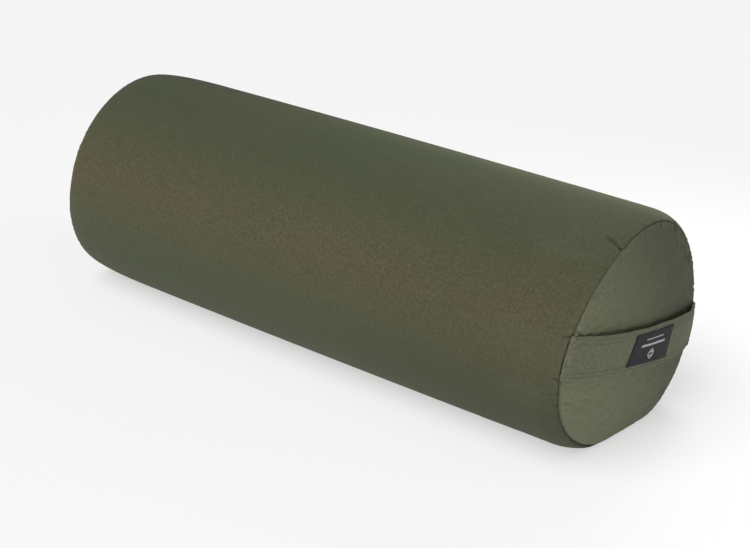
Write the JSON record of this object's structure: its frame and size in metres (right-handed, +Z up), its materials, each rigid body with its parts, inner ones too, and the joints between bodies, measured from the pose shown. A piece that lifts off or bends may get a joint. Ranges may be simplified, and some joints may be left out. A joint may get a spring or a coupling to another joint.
{
  "type": "bolster pillow",
  "caption": "Round bolster pillow with a zipped canvas cover, a strap handle on one domed end and a rolled cotton filling.",
  "frame": {"origin": "on the floor, under the middle of the bolster", "axes": "+X along the bolster towards the end with the handle, +Z up, the zip on the +Y side"},
  "size_m": [0.6842, 0.23, 0.217],
  "materials": {
    "cover_canvas": "matt olive green cotton twill with a soft bloom",
    "handle_canvas": "the cover's olive green twill, folded and topstitched",
    "label_cloth": "black woven satin label with pale grey threads",
    "zipper_tape": "olive herringbone tape",
    "zipper_coil": "satin nylon",
    "zipper_metal": "antique brass, satin, worn at the edges",
    "muslin": "unbleached plain weave",
    "cotton_batting": "soft felted cotton"
  },
  "bodies": {
    "root": {"cover_tube_panel": "cover_canvas", "cover_front_panel": "cover_canvas", "cover_rear_panel": "cover_canvas", "zipper_tape_upper": "zipper_tape", "zipper_tape_lower": "zipper_tape", "zipper_coil_upper": "zipper_coil", "zipper_coil_lower": "zipper_coil", "zipper_top_stop_upper": "zipper_metal", "zipper_top_stop_lower": "zipper_metal", "zipper_bottom_stop": "zipper_metal", "care_tag": "muslin", "liner_tube_panel": "muslin", "liner_front_panel": "muslin", "liner_rear_panel": "muslin", "batting_core_roll": "cotton_batting", "batting_wrap": "cotton_batting"},
    "zipper_slider": {"zipper_slider_body": "zipper_metal"},
    "zipper_pull": {"zipper_pull_tab": "zipper_metal"},
    "handle": {"handle_strap": "handle_canvas", "handle_label": "label_cloth"}
  },
  "joints": [
    {"name": "handle_lift", "type": "slide", "parent": "root", "child": "handle", "axis": [1, 0, 0], "range_m": [0, 0.022], "stiffness_N_per_m": 250},
    {"name": "zipper_slide", "type": "slide", "parent": "root", "child": "zipper_slider", "axis": [-1, 0, 0], "range_m": [0, 0.485]},
    {"name": "zipper_pull_swing", "type": "hinge", "parent": "zipper_slider", "child": "zipper_pull", "pos_m": [0.23645, 0.11224, 0.13207], "axis": [0, 0.2588, -0.9659], "range_deg": [0, 170]}
  ]
}
